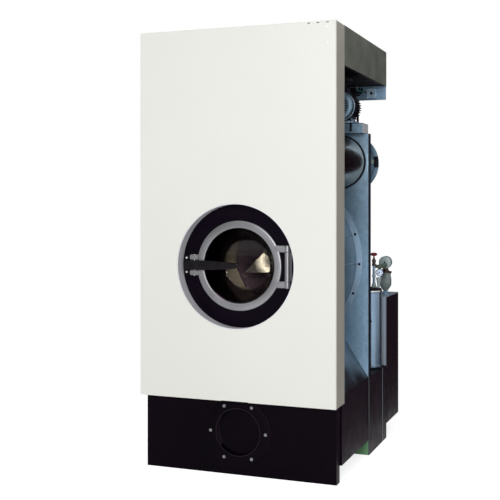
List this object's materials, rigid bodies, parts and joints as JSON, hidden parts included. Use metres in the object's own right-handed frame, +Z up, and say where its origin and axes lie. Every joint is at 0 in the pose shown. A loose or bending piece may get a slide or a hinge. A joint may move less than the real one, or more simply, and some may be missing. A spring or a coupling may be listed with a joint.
{
  "type": "dry cleaning machine",
  "caption": "Tall front-loading dry cleaning machine with a round glass door, belt-driven drum, fan, solvent tank, filter and valves on an open frame.",
  "frame": {"origin": "middle of the footprint at floor level", "axes": "+X to the right seen from the front, -Y to the front, +Z up"},
  "size_m": [0.9, 1.2, 1.925],
  "materials": {
    "white_paint": "semi-gloss white powder coat",
    "black_paint": "satin black powder coat",
    "rubber": "matt black rubber",
    "dark_steel": "dark zinc coated sheet",
    "light_grey": "light grey coat",
    "galvanised": "blue-grey zinc coated sheet",
    "olive_paint": "satin grey-green coat",
    "red_plastic": "dark red moulding",
    "black_plastic": "glossy black moulding",
    "collar_grey": "satin grey coat",
    "stainless": "polished stainless steel",
    "bright_steel": "ground steel",
    "cast_grey": "grey painted casting",
    "cast_aluminium": "satin casting",
    "glass": "clear door glass",
    "dial_white": "white dial under a clear front",
    "valve_grey": "grey-green casting paint",
    "green_hose": "green hose"
  },
  "bodies": {
    "machine": {"front_panel": "white_paint", "base_front_plate": "black_paint", "cover_gasket": "rubber", "inspection_cover": "black_paint", "base_tank": "black_paint", "sump_hopper": "dark_steel", "rear_base": "black_paint", "rear_box": "black_paint", "rear_box_lid": "light_grey", "corner_post": "light_grey", "bulkhead": "galvanised", "motor_rail": "galvanised", "control_box": "olive_paint", "control_box_floor": "black_paint", "contactor_bank": "light_grey", "cable_tray": "galvanised", "pressure_switch": "galvanised", "cable_gland": "black_plastic", "door_collar": "collar_grey", "tub": "black_paint", "tub_ring": "galvanised", "bearing_housing": "cast_grey", "drum_motor": "cast_grey", "drum_belt": "rubber", "hinge_bracket": "cast_aluminium", "hinge_pin": "bright_steel", "latch_keeper": "black_paint", "lint_filter_housing": "galvanised", "fan_casing": "stainless", "fan_bearing": "cast_grey", "fan_guard": "galvanised", "fan_motor": "cast_grey", "fan_motor_cowl": "galvanised", "tension_bolt": "black_plastic", "fan_belt": "rubber", "speed_sensor": "black_plastic", "filter_vessel": "galvanised", "vent_pipe": "light_grey", "gauge": "dial_white", "service_pipe": "valve_grey", "regulator_head": "valve_grey", "regulator_body": "valve_grey", "motor_cable": "rubber", "air_hose": "green_hose"},
    "door": {"door_ring": "cast_aluminium", "door_glass": "glass", "door_seal": "rubber", "latch_pin": "bright_steel"},
    "handle": {"door_handle": "black_plastic"},
    "drum_rotor": {"drum": "stainless", "drum_shaft": "bright_steel", "drum_pulley": "cast_grey"},
    "drum_motor_rotor": {"drum_motor_pulley": "cast_grey"},
    "fan_rotor": {"fan_impeller": "cast_aluminium", "fan_shaft": "bright_steel"},
    "fan_motor_rotor": {"fan_motor_pulley": "cast_grey"},
    "lint_drawer": {"lint_filter_drawer": "light_grey"},
    "valve": {"valve_handle": "red_plastic"},
    "main_switch": {"main_switch_knob": "red_plastic"},
    "needle": {"gauge_needle": "black_plastic"}
  },
  "joints": [
    {"name": "door_hinge", "type": "hinge", "parent": "machine", "child": "door", "pos_m": [0.225, -0.556, 0.902], "axis": [0, 0, 1], "range_deg": [0, 100]},
    {"name": "handle_pivot", "type": "hinge", "parent": "door", "child": "handle", "pos_m": [-0.206, -0.556, 0.902], "axis": [0, 0, -1], "range_deg": [0, 20]},
    {"name": "drum_spin", "type": "hinge", "parent": "machine", "child": "drum_rotor", "pos_m": [0, 0, 0.902], "axis": [0, 1, 0], "continuous": true},
    {"name": "drum_motor_spin", "type": "hinge", "parent": "machine", "child": "drum_motor_rotor", "pos_m": [-0.25, 0, 0.47], "axis": [0, 1, 0], "continuous": true},
    {"name": "fan_spin", "type": "hinge", "parent": "machine", "child": "fan_rotor", "pos_m": [0.308, 0, 1.365], "axis": [0, 1, 0], "continuous": true},
    {"name": "fan_motor_spin", "type": "hinge", "parent": "machine", "child": "fan_motor_rotor", "pos_m": [0.342, 0, 1.616], "axis": [0, 1, 0], "continuous": true},
    {"name": "drawer_slide", "type": "slide", "parent": "machine", "child": "lint_drawer", "axis": [-1, 0, 0], "range_m": [0, 0.3]},
    {"name": "valve_turn", "type": "hinge", "parent": "machine", "child": "valve", "pos_m": [0.408, 0.23, 0.92], "axis": [0, 0, 1], "range_deg": [0, 90]},
    {"name": "main_switch_turn", "type": "hinge", "parent": "machine", "child": "main_switch", "pos_m": [-0.3, 0.332, 1.84], "axis": [0, 1, 0], "range_deg": [0, 90]},
    {"name": "needle_turn", "type": "hinge", "parent": "machine", "child": "needle", "pos_m": [0.421, 0.2943, 0.826], "axis": [0, 1, 0], "range_deg": [0, 270]}
  ],
  "couplings": [
    {"joint": "drum_motor_spin", "follows": "drum_spin", "ratio": 5.9398},
    {"joint": "fan_motor_spin", "follows": "fan_spin", "ratio": 2.0725}
  ]
}
